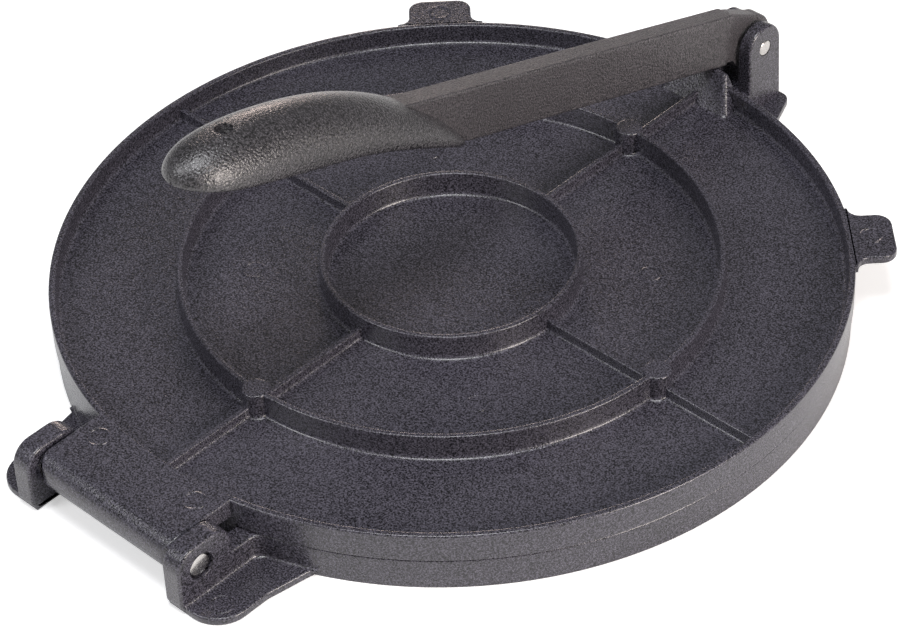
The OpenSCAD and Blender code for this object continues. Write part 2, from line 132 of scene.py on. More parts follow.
# The first and the last ring of a grid of vertices as one face each
def endFaces(rows, columns):
    last = (rows - 1) * columns
    return [list(range(columns))[::-1], list(range(last, last + columns))]


# Inset of an outline: each point moves inwards along the normal there, the tangent turned a quarter
def insetOutline(outline, amount):
    tangent = unitRows(np.roll(outline, -1, 0) - np.roll(outline, 1, 0))
    return outline + np.stack([-tangent[:, 1], tangent[:, 0]], 1) * amount


# Slab: an outline carried from low to high, its edges a quarter circle of radius edge, with as many extra
# rings between as there are cuts; hole is (x, y, radius)
def slab(outline, low, high, edge=0.0, hole=None, step=4.0 * mm, cuts=0):
    outline = evenOutline(outline, step)
    ahead = np.roll(outline, -1, 0)
    area = (outline[:, 0] * ahead[:, 1] - outline[:, 1] * ahead[:, 0]).sum()
    outline = outline if area > 0 else outline[::-1]
    turn = np.linspace(0, np.pi / 2, edgePoints) if edge else np.zeros(1)
    inwards, rise = edge * (1 - np.sin(turn)), edge * (1 - np.cos(turn))
    between = np.linspace(low + edge, high - edge, cuts + 2)[1:-1]
    cap = [edge + capRing] if edge else []
    inset = np.concatenate([cap, inwards, np.zeros(cuts), inwards[::-1], cap])
    level = np.concatenate([[low] * len(cap), low + rise, between, high - rise[::-1], [high] * len(cap)])
    rings = np.stack([insetOutline(outline, amount) for amount in inset])
    count = outline.shape[0]
    if hole:
        middle = np.array(hole[:2])
        spoke = unitRows(outline - middle)
        bore = np.broadcast_to(middle + spoke * hole[2], rings[:1].shape)
        rings = np.concatenate([bore, rings, bore])
        level = np.concatenate([[low], level, [high]])
    vertices = np.concatenate([rings, np.broadcast_to(level[:, None, None], rings.shape[:2] + (1,))], -1)
    faces = gridQuads(len(level), count).tolist()
    if hole:
        index = np.arange(count)
        after = (index + 1) % count
        top = (len(level) - 1) * count
        faces += np.stack([index + top, after + top, after, index], 1).tolist()
    else:
        faces += endFaces(len(level), count)
    return vertices.reshape(-1, 3), faces


# Surface of revolution about Z: every profile point (radius, height) is carried round the axis
def lathe(profile, segments=roundSteps["plate"]):
    profile = np.array(profile, float)
    angle = np.arange(segments) / segments * 2 * np.pi
    x = profile[:, :1] * np.cos(angle)
    y = profile[:, :1] * np.sin(angle)
    z = np.broadcast_to(profile[:, 1:], x.shape)
    return np.stack([x, y, z], -1).reshape(-1, 3), gridQuads(len(profile), segments).tolist()


# Concave fillet between two flat faces that meet at the origin: a quarter circle whose legs end inside them
def filletOutline(radius, depth, points=7):
    angle = np.linspace(np.pi, 1.5 * np.pi, points)
    arc = radius + radius * np.stack([np.cos(angle), np.sin(angle)], 1)
    return np.vstack([[[-depth, radius]], arc, [[radius, -depth]], [[-depth, -depth]]])


# The axes of a shape renamed: a slab drawn in (a, b) and carried along c is stood in the press
def stand(shape, order, shift=(0, 0, 0)):
    vertices, faces = shape
    return vertices[:, order] + np.array(shift), faces


def moved(shape, shift):
    vertices, faces = shape
    return vertices + np.array(shift), faces


def aboutPlates(shape):
    return moved(shape, (0, plates["y"], 0))


def turned(shape, angle):
    vertices, faces = shape
    c, s = math.cos(angle), math.sin(angle)
    return np.column_stack([vertices[:, :2] @ np.array([[c, s], [-s, c]]), vertices[:, 2]]), faces


def joined(shapes):
    offsets = np.cumsum([0] + [len(vertices) for vertices, _ in shapes])
    vertices = np.vstack([vertices for vertices, _ in shapes])
    faces = [[index + int(offset) for index in face]
             for (_, own), offset in zip(shapes, offsets) for face in own]
    return vertices, faces


# A shape and its mirror image on the other side of the press
def bothSides(shape):
    vertices, faces = shape
    return joined([shape, (vertices * np.array([-1, 1, 1]), faces)])


# Welds the seams, turns every face outwards and shades the piece smooth up to the crease angle. The modifier
# keeps broad flat faces flat beside a fillet
def makePiece(name, shape, body, material, crease=32):
    vertices, faces = shape
    mesh = bpy.data.meshes.new(name)
    mesh.from_pydata(vertices.tolist(), [], faces)
    work = bmesh.new()
    work.from_mesh(mesh)
    bmesh.ops.remove_doubles(work, verts=work.verts, dist=weld)
    bmesh.ops.dissolve_degenerate(work, edges=work.edges, dist=weld / 2)
    bmesh.ops.recalc_face_normals(work, faces=work.faces)
    work.to_mesh(mesh)
    work.free()
    mesh.shade_smooth()
    mesh.set_sharp_from_angle(angle=math.radians(crease))
    mesh.materials.append(material)
    piece = bpy.data.objects.new(name, mesh)
    bpy.context.scene.collection.objects.link(piece)
    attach(piece, body)
    even = piece.modifiers.new("evenShading", "WEIGHTED_NORMAL")
    even.weight = 100
    even.keep_sharp = True
    return piece


# ---- materials

def newMaterial(name):
    material = bpy.data.materials.new(name)
    material.use_nodes = True
    return material, material.node_tree.nodes, material.node_tree.links


def setInputs(node, values):
    for socketName, value in values.items():
        node.inputs[socketName].default_value = value


# Math node whose constants follow its first socket
def mathNode(nodes, operation, *constants):
    node = nodes.new("ShaderNodeMath")
    node.operation = operation
    for place, value in enumerate(constants, 1):
        node.inputs[place].default_value = value
    return node


def mixNode(nodes, dataType):
    node = nodes.new("ShaderNodeMix")
    node.data_type = dataType
    return node


# grainScale multiplies the cells' number per metre for the grain, grainShare is the part of the height that
# the grain makes, and wander is how far the tone drifts over the casting
pebble = dict(
    inputs={"Cells per metre": 900.0, "Dark": (0.02, 0.02, 0.02, 1), "Light": (0.06, 0.06, 0.06, 1),
            "Smoothest": 0.4, "Roughest": 0.6},
    cells={"Smoothness": 0.6},
    grain={"Detail": 3.0, "Roughness": 0.6},
    drift={"Scale": 28.0, "Detail": 2.0},
    contrast={"From Min": 0.39, "From Max": 0.64},
    grainScale=1.2, grainShare=0.55, wander=0.3,
)


# Pebbled coat: rounded cells and a fine noise give the height, and the noise the speckle and the roughness
def pebbleGroup():
    tree = bpy.data.node_groups.new("pebbledCoat", "ShaderNodeTree")
    tree.interface.new_socket(name="Vector", in_out="INPUT", socket_type="NodeSocketVector")
    for socketName, value in pebble["inputs"].items():
        kind = "NodeSocketColor" if isinstance(value, tuple) else "NodeSocketFloat"
        socket = tree.interface.new_socket(name=socketName, in_out="INPUT", socket_type=kind)
        socket.default_value = value
    tree.interface.new_socket(name="Color", in_out="OUTPUT", socket_type="NodeSocketColor")
    for socketName in ("Roughness", "Height"):
        tree.interface.new_socket(name=socketName, in_out="OUTPUT", socket_type="NodeSocketFloat")
    nodes, links = tree.nodes, tree.links
    given = nodes.new("NodeGroupInput")
    result = nodes.new("NodeGroupOutput")
    cells = nodes.new("ShaderNodeTexVoronoi")
    cells.feature = "SMOOTH_F1"
    grain = nodes.new("ShaderNodeTexNoise")
    drift = nodes.new("ShaderNodeTexNoise")
    for node, values in ((cells, "cells"), (grain, "grain"), (drift, "drift")):
        setInputs(node, pebble[values])
    finer = mathNode(nodes, "MULTIPLY", pebble["grainScale"])
    links.new(given.outputs["Cells per metre"], finer.inputs[0])
    links.new(given.outputs["Cells per metre"], cells.inputs["Scale"])
    links.new(finer.outputs[0], grain.inputs["Scale"])
    for node in (cells, grain, drift):
        links.new(given.outputs["Vector"], node.inputs["Vector"])
    mix = mixNode(nodes, "FLOAT")
    mix.inputs["Factor"].default_value = pebble["grainShare"]
    links.new(cells.outputs["Distance"], mix.inputs[2])
    links.new(grain.outputs["Fac"], mix.inputs[3])
    links.new(mix.outputs[0], result.inputs["Height"])
    contrast = nodes.new("ShaderNodeMapRange")
    setInputs(contrast, pebble["contrast"])
    links.new(grain.outputs["Fac"], contrast.inputs["Value"])
    sway = mathNode(nodes, "MULTIPLY_ADD", pebble["wander"], -pebble["wander"] / 2)
    links.new(drift.outputs["Fac"], sway.inputs[0])
    tone = mathNode(nodes, "ADD")
    tone.use_clamp = True
    links.new(contrast.outputs["Result"], tone.inputs[0])
    links.new(sway.outputs[0], tone.inputs[1])
    colour = mixNode(nodes, "RGBA")
    links.new(tone.outputs[0], colour.inputs["Factor"])
    links.new(given.outputs["Dark"], colour.inputs[6])
    links.new(given.outputs["Light"], colour.inputs[7])
    links.new(colour.outputs[2], result.inputs["Color"])
    rough = nodes.new("ShaderNodeMapRange")
    links.new(grain.outputs["Fac"], rough.inputs["Value"])
    links.new(given.outputs["Smoothest"], rough.inputs["To Min"])
    links.new(given.outputs["Roughest"], rough.inputs["To Max"])
    links.new(rough.outputs["Result"], result.inputs["Roughness"])
    return tree


coat = dict(
    plate=dict(cells=1500.0, dark=(0.004, 0.0037, 0.0052, 1), light=(0.1, 0.094, 0.122, 1), smooth=0.12,
               rough=0.38, gloss=0.35, specular=0.5, bump=0.17 * mm),
    lever=dict(cells=1500.0, dark=(0.004, 0.0037, 0.0042, 1), light=(0.118, 0.108, 0.118, 1), smooth=0.2,
               rough=0.44, gloss=0.08, specular=0.5, bump=0.5 * mm),
    grip=dict(cells=1300.0, dark=(0.003, 0.0028, 0.0032, 1), light=(0.066, 0.062, 0.07, 1), smooth=0.14,
              rough=0.36, gloss=0.1, specular=0.9, bump=0.36 * mm),
)
glossRoughness = 0.18
pebbles = pebbleGroup()


def coatMaterial(name, values):
    material, nodes, links = newMaterial(name)
    surface = nodes["Principled BSDF"]
    setInputs(surface, {"Specular IOR Level": values["specular"], "Coat Weight": values["gloss"],
                        "Coat Roughness": glossRoughness})
    place = nodes.new("ShaderNodeTexCoord")
    group = nodes.new("ShaderNodeGroup")
    group.node_tree = pebbles
    setInputs(group, {"Cells per metre": values["cells"], "Dark": values["dark"], "Light": values["light"],
                      "Smoothest": values["smooth"], "Roughest": values["rough"]})
    bump = nodes.new("ShaderNodeBump")
    bump.inputs["Distance"].default_value = values["bump"]
    links.new(place.outputs["Object"], group.inputs["Vector"])
    links.new(group.outputs["Color"], surface.inputs["Base Color"])
    links.new(group.outputs["Roughness"], surface.inputs["Roughness"])
    links.new(group.outputs["Height"], bump.inputs["Height"])
    links.new(bump.outputs["Normal"], surface.inputs["Normal"])
    return material


steel = dict(
    scratches={"Scale": 1500.0, "Detail": 4.0},
    dark=(0.45, 0.43, 0.41, 1), light=(0.9, 0.88, 0.86, 1),
    rough={"To Min": 0.12, "To Max": 0.35},
    bump={"Strength": 0.25, "Distance": 0.1 * mm},
)


# Bare steel: one fine noise gives the tint, the roughness and the bump
def steelMaterial():
    material, nodes, links = newMaterial("turnedSteel")
    surface = nodes["Principled BSDF"]
    surface.inputs["Metallic"].default_value = 1.0
    place = nodes.new("ShaderNodeTexCoord")
    scratches = nodes.new("ShaderNodeTexNoise")
    setInputs(scratches, steel["scratches"])
    tint = nodes.new("ShaderNodeValToRGB")
    for element, shade in zip(tint.color_ramp.elements, ("dark", "light")):
        element.color = steel[shade]
    rough = nodes.new("ShaderNodeMapRange")
    setInputs(rough, steel["rough"])
    bump = nodes.new("ShaderNodeBump")
    setInputs(bump, steel["bump"])
    links.new(place.outputs["Object"], scratches.inputs["Vector"])
    for node, socketName in ((tint, "Fac"), (rough, "Value"), (bump, "Height")):
        links.new(scratches.outputs["Fac"], node.inputs[socketName])
    links.new(tint.outputs["Color"], surface.inputs["Base Color"])
    links.new(rough.outputs["Result"], surface.inputs["Roughness"])
    links.new(bump.outputs["Normal"], surface.inputs["Normal"])
    return material


plateCoat = coatMaterial("charcoalCoat", coat["plate"])
leverCoat = coatMaterial("charcoalLeverCoat", coat["lever"])
gripCoat = coatMaterial("charcoalGripCoat", coat["grip"])
pinSteel = steelMaterial()
print("stage 2: materials ready")

# ---- lid

lid = dict(
    edge=0.7 * mm, fillet=1.3 * mm, rimWall=2.3 * mm, ringWall=1.9 * mm, ringEdge=0.55 * mm,
    ribWidth=2.0 * mm, ribHeight=3.8 * mm, ribEdge=0.6 * mm, ribEnd=1.0 * mm, ribStep=3.0 * mm,
    bossRadius=4.5 * mm, bossTop=23.37 * mm,
    tabWidth=22.0 * mm, tabReach=13.5 * mm, tabThick=3.0 * mm, tabCorner=5.0 * mm, tabRoot=4.0 * mm,
    tabAngle=math.radians(45), tabMarkShare=0.45,
    tongueWidth=58.0 * mm, tongueThick=7.0 * mm, tongueCorner=4.0 * mm, tongueRoot=4.0 * mm,
    tongueStep=1.5 * mm, tongueCuts=30, barrel=6.2 * mm, rimLap=0.5 * mm,
)
ejector = dict(radius=3.6 * mm, width=0.38 * mm, height=0.3 * mm, sides=8,
               floorAngles=(-40, 40, 140, 220), tongueX=21.3 * mm, tongueY=-133.8 * mm)


def ringCorners(radius):
    inner, outer = radius - lid["ringWall"] / 2, radius + lid["ringWall"] / 2
    floor, top = plates["floor"], plates["ringTop"]
    return [[outer, floor, lid["fillet"]], [outer, top, lid["ringEdge"]],
            [inner, top, lid["ringEdge"]], [inner, floor, lid["fillet"]]]


# The lid's half section from the middle of its press face, round the rim and both rings, to the middle of
# its floor
def lidPlate():
    inner = plates["lidRadius"] - lid["rimWall"]
    corners = [[0, plates["lidUnder"], 0], [plates["lidRadius"], plates["lidUnder"], lid["edge"]],
               [plates["lidRadius"], plates["rimTop"], lid["edge"]], [inner, plates["rimTop"], lid["edge"]],
               [inner, plates["floor"], lid["fillet"]]]
    corners += ringCorners(plates["outerRing"]) + ringCorners(plates["innerRing"])
    return lathe(roundedOutline(corners + [[0, plates["floor"], 0]], steps=5))


def lidRib():
    half, foot = lid["ribWidth"] / 2, lid["ribWidth"] / 2 + lid["fillet"]
    floor, top = plates["floor"], plates["floor"] + lid["ribHeight"]
    fillet, edge = lid["fillet"], lid["ribEdge"]
    corners = [[-foot, floor - sunk, 0], [foot, floor - sunk, 0], [foot, floor, 0], [half, floor, fillet],
               [half, top, edge], [-half, top, edge], [-half, floor, fillet], [-foot, floor, 0]]
    end = plates["lidRadius"] - lid["ribEnd"]
    return stand(slab(roundedOutline(corners), plates["innerRing"], end, step=lid["ribStep"]), [0, 2, 1])


def lidBoss():
    radius, foot = lid["bossRadius"], lid["bossRadius"] + lid["fillet"]
    floor, top = plates["floor"], lid["bossTop"]
    corners = [[0, floor - sunk, 0], [foot, floor - sunk, 0], [foot, floor, 0],
               [radius, floor, lid["fillet"]], [radius, top, lid["edge"]], [0, top, 0]]
    return moved(lathe(roundedOutline(corners), roundSteps["small"]), (0, plates["outerRing"], 0))


# Faint raised circle that an ejector pin leaves
def markRing(x, y, z):
    angle = np.linspace(0, 2 * np.pi, ejector["sides"] + 1)[:-1]
    across, up = ejector["radius"] + ejector["width"] * np.cos(angle), ejector["height"] * np.sin(angle)
    section = np.stack([across, up], 1)
    return moved(lathe(np.vstack([section, section[:1]]), roundSteps["small"]), (x, y, z))


def lidTab():
    rim, top = plates["lidRadius"], plates["rimTop"]
    root, end = rim - sunk, rim + lid["tabReach"]
    half, flare, corner = lid["tabWidth"] / 2, lid["tabRoot"], lid["tabCorner"]
    corners = [[root, -half - flare, 0], [rim, -half - flare, 0], [rim, -half, flare], [end, -half, corner],
               [end, half, corner], [rim, half, flare], [rim, half + flare, 0], [root, half + flare, 0]]
    tab = slab(roundedOutline(corners), top - lid["tabThick"], top, lid["edge"])
    return joined([tab, markRing(rim + lid["tabReach"] * lid["tabMarkShare"], 0, top)])


# Tongue: its side outline carried across in even steps, its root laid along the inside of the rim, and its
# two front corners drawn in along a quarter circle
def lidTongue():
    inner = plates["lidRadius"] - lid["rimWall"]
    root = plates["y"] - inner + lid["tongueRoot"]
    top, low = plates["rimTop"] + apart, plates["rimTop"] - lid["tongueThick"]
    barrel, corner, half = lid["barrel"], lid["tongueCorner"], lid["tongueWidth"] / 2
    nose, back, under = hinge.y - barrel, hinge.y + barrel, hinge.z - barrel
    corners = [[root, top, 0], [nose, top, barrel], [nose, under, barrel * halfRound],
               [back, under, barrel * halfRound], [back, low, 0], [root, low, 0]]
    shape = slab(roundedOutline(corners, steps=10), -half, half, lid["edge"], step=lid["tongueStep"],
                 cuts=lid["tongueCuts"])
    vertices, faces = stand(shape, [2, 0, 1])
    rim = plates["y"] - np.sqrt((inner + lid["rimLap"]) ** 2 - vertices[:, 0] ** 2)
    vertices[:, 1] = np.minimum(vertices[:, 1], rim)
    depth = np.clip(corner - (vertices[:, 1] - nose), 0, corner)
    drawnIn = corner - np.sqrt(corner ** 2 - depth ** 2)
    vertices[:, 0] -= drawnIn * vertices[:, 0] / half
    return vertices, faces


pressBlock = dict(width=29.4 * mm, topWidth=16.4 * mm, depth=9.2 * mm, topDepth=1.5 * mm, top=25.7 * mm,
                  corner=1.7 * mm, cornerShare=0.7, backCorner=0.2 * mm, backGap=0.15 * mm,
                  edge=0.4 * mm, foot=0.8 * mm, curvePoints=6)


# Pressing block: one rounded rectangle per level, its width and depth on straight lines from the floor to
# the top, flared by a quarter circle at the floor and drawn in by one at the top. Its corners shrink with
# its depth
def pressingBlock():
    floor, top, foot, edge = plates["floor"], pressBlock["top"], pressBlock["foot"], pressBlock["edge"]
    turn = np.linspace(0, math.pi / 2, pressBlock["curvePoints"])
    flare, drawnIn = foot * (1 - np.sin(turn)), edge * (1 - np.sin(turn[::-1]))
    level = np.concatenate([[floor - sunk], floor + foot * (1 - np.cos(turn)),
                            top - edge * (1 - np.cos(turn[::-1]))])
    grow = np.concatenate([flare[:1], flare, -drawnIn])
    share = np.clip((level - floor) / (top - floor), 0, 1)
    half = (pressBlock["width"] + (pressBlock["topWidth"] - pressBlock["width"]) * share) / 2 + grow
    depth = pressBlock["depth"] + (pressBlock["topDepth"] - pressBlock["depth"]) * share + grow
    corner = np.minimum(pressBlock["corner"], pressBlock["cornerShare"] * depth)
    back, heel = plates["y"] + plates["lidRadius"] - pressBlock["backGap"], pressBlock["backCorner"]
    rings = [roundedOutline([[-w, back - d, r], [w, back - d, r], [w, back, heel], [-w, back, heel]])
             for w, d, r in zip(half, depth, corner)]
    count = len(rings[0])
    vertices = np.concatenate([np.column_stack([ring, np.full(count, z)])
                               for ring, z in zip(rings, level)])
    return vertices, gridQuads(len(level), count).tolist() + endFaces(len(level), count)


# Marks on the lid's floor, and two on its tongue
def lidMarks():
    radius = (plates["outerRing"] + plates["innerRing"]) / 2
    angles = [math.radians(degrees) for degrees in ejector["floorAngles"]]
    marks = [markRing(radius * math.cos(a), radius * math.sin(a), plates["floor"]) for a in angles]
    marks += [markRing(side * ejector["tongueX"], ejector["tongueY"], plates["rimTop"]) for side in (-1, 1)]
    return joined(marks)


# A shape laid at each of the angles about the middle of the plates
def spread(shape, angles):
    return aboutPlates(joined([turned(shape, angle) for angle in angles]))


tabAngles = (lid["tabAngle"], math.pi - lid["tabAngle"])
makePiece("lidPlate", aboutPlates(lidPlate()), "lid", plateCoat)
makePiece("lidRibs", spread(lidRib(), quarterTurns), "lid", plateCoat)
makePiece("lidBosses", spread(lidBoss(), quarterTurns), "lid", plateCoat)
makePiece("lidTabs", spread(lidTab(), tabAngles), "lid", plateCoat)
lidNose = makePiece("lidTongue", lidTongue(), "lid", plateCoat)
makePiece("pressingBlock", pressingBlock(), "lid", plateCoat)
makePiece("lidMarks", aboutPlates(lidMarks()), "lid", plateCoat)
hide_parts("lid")
print("stage 3: lid ready")

# ---- base

base = dict(
    edge=0.7 * mm, wall=3.5 * mm, wallEdge=0.5 * mm, plateThick=4.0 * mm, fillet=1.1 * mm,
    stiffDepth=5.0 * mm, stiffWidth=3.0 * mm, stiffEdge=0.6 * mm, stiffEnd=2.0 * mm, stiffTop=1.0 * mm,
    earInner=29.8 * mm, earThick=7.2 * mm, earFront=9.2 * mm, earBack=12.4 * mm, earRise=8.8 * mm,
    earRadius=7.0 * mm, earEdge=0.9 * mm, toe=4.0 * mm, heel=1.2 * mm, mouth=4.65 * mm,
    footThick=2.8 * mm, footReach=14.0 * mm, footCorner=11.0 * mm, footBack=4.0 * mm, footFlare=3.0 * mm,
    footSetback=1.2 * mm, webRadius=5.0 * mm, webReach=9.0 * mm, webLap=2.0 * mm, webInset=0.05 * mm,
    seam=1.1 * mm, seamDepth=0.4 * mm, seamStart=5.0 * mm, seamPast=1.0 * mm, seamPoints=12,
)
stiffLow = plates["baseTop"] - base["plateThick"] - base["stiffDepth"]
wallBack = plates["y"] + plates["baseRadius"] - base["wall"]      # inside of the base's wall at the clevis


def basePlate():
    outer, inner = plates["baseRadius"], plates["baseRadius"] - base["wall"]
    under, top = plates["baseTop"] - base["plateThick"], plates["baseTop"]
    corners = [[0, under, 0], [inner, under, base["fillet"]], [inner, 0, base["wallEdge"]],
               [outer, 0, base["wallEdge"]], [outer, top, base["edge"]], [0, top, 0]]
    return lathe(roundedOutline(corners, steps=5))


# Section of a ring or rib under the base, about the given middle. It starts inside the base's plate and stops
# short of the floor
def stiffSection(middle):
    half, high, edge = base["stiffWidth"] / 2, plates["baseTop"] - base["stiffTop"], base["stiffEdge"]
    return roundedOutline([[middle - half, high, 0], [middle - half, stiffLow, edge],
                           [middle + half, stiffLow, edge], [middle + half, high, 0]])


def baseStiffening():
    rings = [stiffSection(radius) for radius in (plates["innerRing"], plates["outerRing"])]
    shapes = [lathe(np.vstack([ring, ring[:1]]), roundSteps["stiffening"]) for ring in rings]
    rib = slab(stiffSection(0), plates["innerRing"], plates["baseRadius"] - base["stiffEnd"])
    return joined(shapes + [turned(stand(rib, [0, 2, 1]), angle) for angle in quarterTurns])


# Y of the base's wall on the hinge's side, on its circle at the place x
def onWall(x):
    return plates["y"] - np.sqrt(plates["baseRadius"] ** 2 - x ** 2)


# Fillet between a floor and a wall whose foot follows a path, with the open side on the path's right
def filletAlong(path, level):
    section = filletOutline(base["seam"], base["seamDepth"])
    tangent = unitRows(np.gradient(path, axis=0))
    side = np.stack([tangent[:, 1], -tangent[:, 0]], 1)
    flat = path[:, None] + side[:, None] * section[None, :, :1]
    z = np.broadcast_to(level + section[:, 1], flat.shape[:2])
    vertices = np.concatenate([flat, z[..., None]], -1).reshape(-1, 3)
    return vertices, gridQuads(len(path), len(section)).tolist() + endFaces(len(path), len(section))


# Hinge ear with a web behind it, a foot outside it, a fillet along the foot's seam and a mark on the foot
def hingeEar():
    inner, outer = base["earInner"], base["earInner"] + base["earThick"]
    front, back, top = hinge.y - base["earFront"], hinge.y + base["earBack"], hinge.z + base["earRise"]
    side = roundedOutline([[front, 0, base["toe"]], [back, 0, base["heel"]], [back, top, base["earRadius"]],
                           [front, top, base["earRadius"]]], steps=10)
    hole = (hinge.y, hinge.z, base["mouth"])
    ear = stand(slab(side, inner, outer, base["earEdge"], hole=hole, step=fineStep), [2, 0, 1])

    webLow, webHigh, webEnd = inner + base["webInset"], outer - base["webInset"], outer + base["webReach"]
    webRadius, lap, wallY = base["webRadius"], base["webLap"], onWall(outer)
    web = roundedOutline([[webLow, back - lap, 0], [webHigh, back - lap, 0], [webHigh, wallY, webRadius],
                          [webEnd, onWall(webEnd), 0], [webEnd, onWall(webEnd) + lap, 0],
                          [outer, wallY + lap, 0], [webLow, onWall(inner) + lap, 0]], steps=10)

    footX, footFront = outer + base["footReach"], front + base["footSetback"]
    rootX = footX + base["footFlare"]
    foot = roundedOutline([[inner, footFront, 0], [footX, footFront, base["footCorner"]],
                           [footX, back, base["footBack"]], [rootX, onWall(rootX), 0],
                           [inner, onWall(rootX), 0]], steps=10)

    corner = roundedOutline([[outer, footFront, 0], [outer, wallY, webRadius],
                             [rootX, onWall(rootX), 0]], steps=10)
    alongWall = np.linspace(outer + base["seamStart"], rootX + base["seamPast"], base["seamPoints"])
    path = np.vstack([corner[:-1], np.stack([alongWall, onWall(alongWall)], 1)])
    footTop = base["footThick"]
    return joined([ear, slab(web, 0, plates["baseTop"] - apart, base["edge"]),
                   slab(foot, 0, footTop, base["edge"]), filletAlong(path, footTop),
                   markRing((outer + footX) / 2, hinge.y, footTop)])


clevis = dict(radius=8.4 * mm, width=17.6 * mm, draft=1.2 * mm, slot=7.6 * mm, hole=3.0 * mm, heel=1.3 * mm,
              edge=1.0 * mm, upright=1.0 * mm, top=baseHigh.z,
              webEdge=0.6 * mm, webInset=0.04 * mm, webSetback=1.0 * mm,
              footEnd=26.0 * mm, footRoot=52.0 * mm, footReach=1.2 * mm, footCorner=4.0 * mm,
              seamAngles=(101.6, 78.4), seamPoints=30)


# Widened towards the floor in proportion to the distance from the middle. The slot's sides stay upright
def leaned(shape):
    vertices, faces = shape
    wider = 1 + clevis["draft"] / (clevis["width"] / 2) * (1 - vertices[:, 2] / clevis["top"])
    outside = np.abs(vertices[:, 0]) > clevis["slot"] / 2 + clevis["upright"]
    vertices[:, 0] *= np.where(outside, wider, 1)
    return vertices, faces


def clevisCheek():
    front, back, top = pivot.y - clevis["radius"], pivot.y + clevis["radius"], clevis["top"]
    heel, crown = clevis["heel"], clevis["radius"] * halfRound
    side = roundedOutline([[front, 0, heel], [back, 0, heel], [back, top, crown], [front, top, crown]],
                          steps=14)
    cheek = slab(side, clevis["slot"] / 2, clevis["width"] / 2, clevis["edge"],
                 hole=(pivot.y, pivot.z, clevis["hole"]), step=fineStep)
    return leaned(stand(cheek, [2, 0, 1]))


def clevisWeb():
    back, top = pivot.y + clevis["radius"] - clevis["webSetback"], plates["baseTop"]
    outline = roundedOutline([[wallBack, 0, 0], [back, 0, 0], [back, top, 0],
                              [wallBack, top - apart, 0]])
    half = clevis["width"] / 2 - clevis["webInset"]
    return leaned(stand(slab(outline, -half, half, clevis["webEdge"]), [2, 0, 1]))


def clevisFoot():
    root, end, corner = clevis["footRoot"] / 2, clevis["footEnd"] / 2, clevis["footCorner"]
    back = pivot.y + clevis["radius"] + clevis["footReach"]
    outline = roundedOutline([[-root, wallBack, 0], [root, wallBack, 0], [end, back, corner],
                              [-end, back, corner]])
    return slab(outline, 0, base["footThick"], base["edge"])


# Fillet along the base's wall over the clevis foot
def clevisSeam():
    angle = np.radians(np.linspace(*clevis["seamAngles"], clevis["seamPoints"]))
    wallFoot = plates["baseRadius"] * np.stack([np.cos(angle), np.sin(angle)], 1)
    return filletAlong(wallFoot[::-1], base["footThick"])


bottom = makePiece("basePlate", aboutPlates(basePlate()), "base", plateCoat)
makePiece("baseStiffening", aboutPlates(baseStiffening()), "base", plateCoat)
makePiece("hingeEars", bothSides(hingeEar()), "base", plateCoat)
makePiece("clevisFootFillet", aboutPlates(clevisSeam()), "base", plateCoat)
makePiece("clevisCheeks", bothSides(clevisCheek()), "base", plateCoat)
makePiece("clevisWeb", clevisWeb(), "base", plateCoat)
makePiece("clevisFoot", clevisFoot(), "base", plateCoat)
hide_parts("base")
print("stage 4: base ready")

# ---- pins

pins = dict(hingeRadius=3.75 * mm, hingeHalf=36.4 * mm, hingeDome=0.5 * mm,
            leverRadius=2.9 * mm, leverHalf=8.8 * mm, leverDome=0.75 * mm)


# Pin about X: a half section of a shaft with domed ends, carried round and laid down
def pin(radius, half, dome, place, points=13):
    angle = np.linspace(0, np.pi / 2, points)
    end = np.stack([radius * np.sin(angle), half + dome * np.cos(angle)], 1)
    profile = np.vstack([end, (end * [1, -1])[::-1]])
    return stand(lathe(profile, roundSteps["pin"]), [2, 1, 0], place)


hingeShaft = pin(pins["hingeRadius"], pins["hingeHalf"] - pins["hingeDome"], pins["hingeDome"], hinge)
hingePin = makePiece("hingePin", hingeShaft, "base", pinSteel)
leverShaft = pin(pins["leverRadius"], pins["leverHalf"], pins["leverDome"], pivot)
leverPin = makePiece("leverPin", leverShaft, "base", pinSteel)
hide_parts("hinge_pin")
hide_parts("lever_pin")
print("stage 5: pins ready")

# ---- lever, drawn along s from the pivot with n square to the bar

lever = dict(
    rise=math.radians(18), length=275.9 * mm, drop=6.6 * mm, top=12.8 * mm, width=8.0 * mm,
    barStart=12.2 * mm, barStartTop=15.2 * mm, barEnd=183.0 * mm, barCorner=1.0 * mm, barEdge=0.8 * mm,
    barInGrip=0.3 * mm, hubEndWidth=7.3 * mm,
    hubRadius=9.95 * mm, hubSides=72, hubWidth=5.7 * mm, hubEdge=0.6 * mm, hubHole=3.05 * mm,
    humpEnd=26.0 * mm, humpBend=30.0 * mm, humpLift=0.3 * mm, humpDip=0.06 * mm, humpInset=0.05 * mm,
    gripStart=148.5 * mm, crownAt=231.5 * mm, halfWidth=13.5 * mm, edgeRise=6.4 * mm, dome=15.86 * mm,
    sweep=67.5 * mm, sweepPower=1.85, planPower=4.8, rootPower=0.87, tipPower=0.43,
    gripEnds=0.9995, leastRise=0.2 * mm, leastShare=0.1, wall=3.0 * mm, lip=1.0 * mm,
    holeAt=257.5 * mm, holeRadius=2.75 * mm,
)


# From the lever's own (x, s, n) to the press: turned by the rise about the pivot
def onLever(shape):
    vertices, faces = shape
    x, s, n = vertices.T
    c, d = math.cos(lever["rise"]), math.sin(lever["rise"])
    y = pivot.y - s * c + n * d
    z = pivot.z + s * d + n * c
    return np.stack([x, y, z], 1), faces


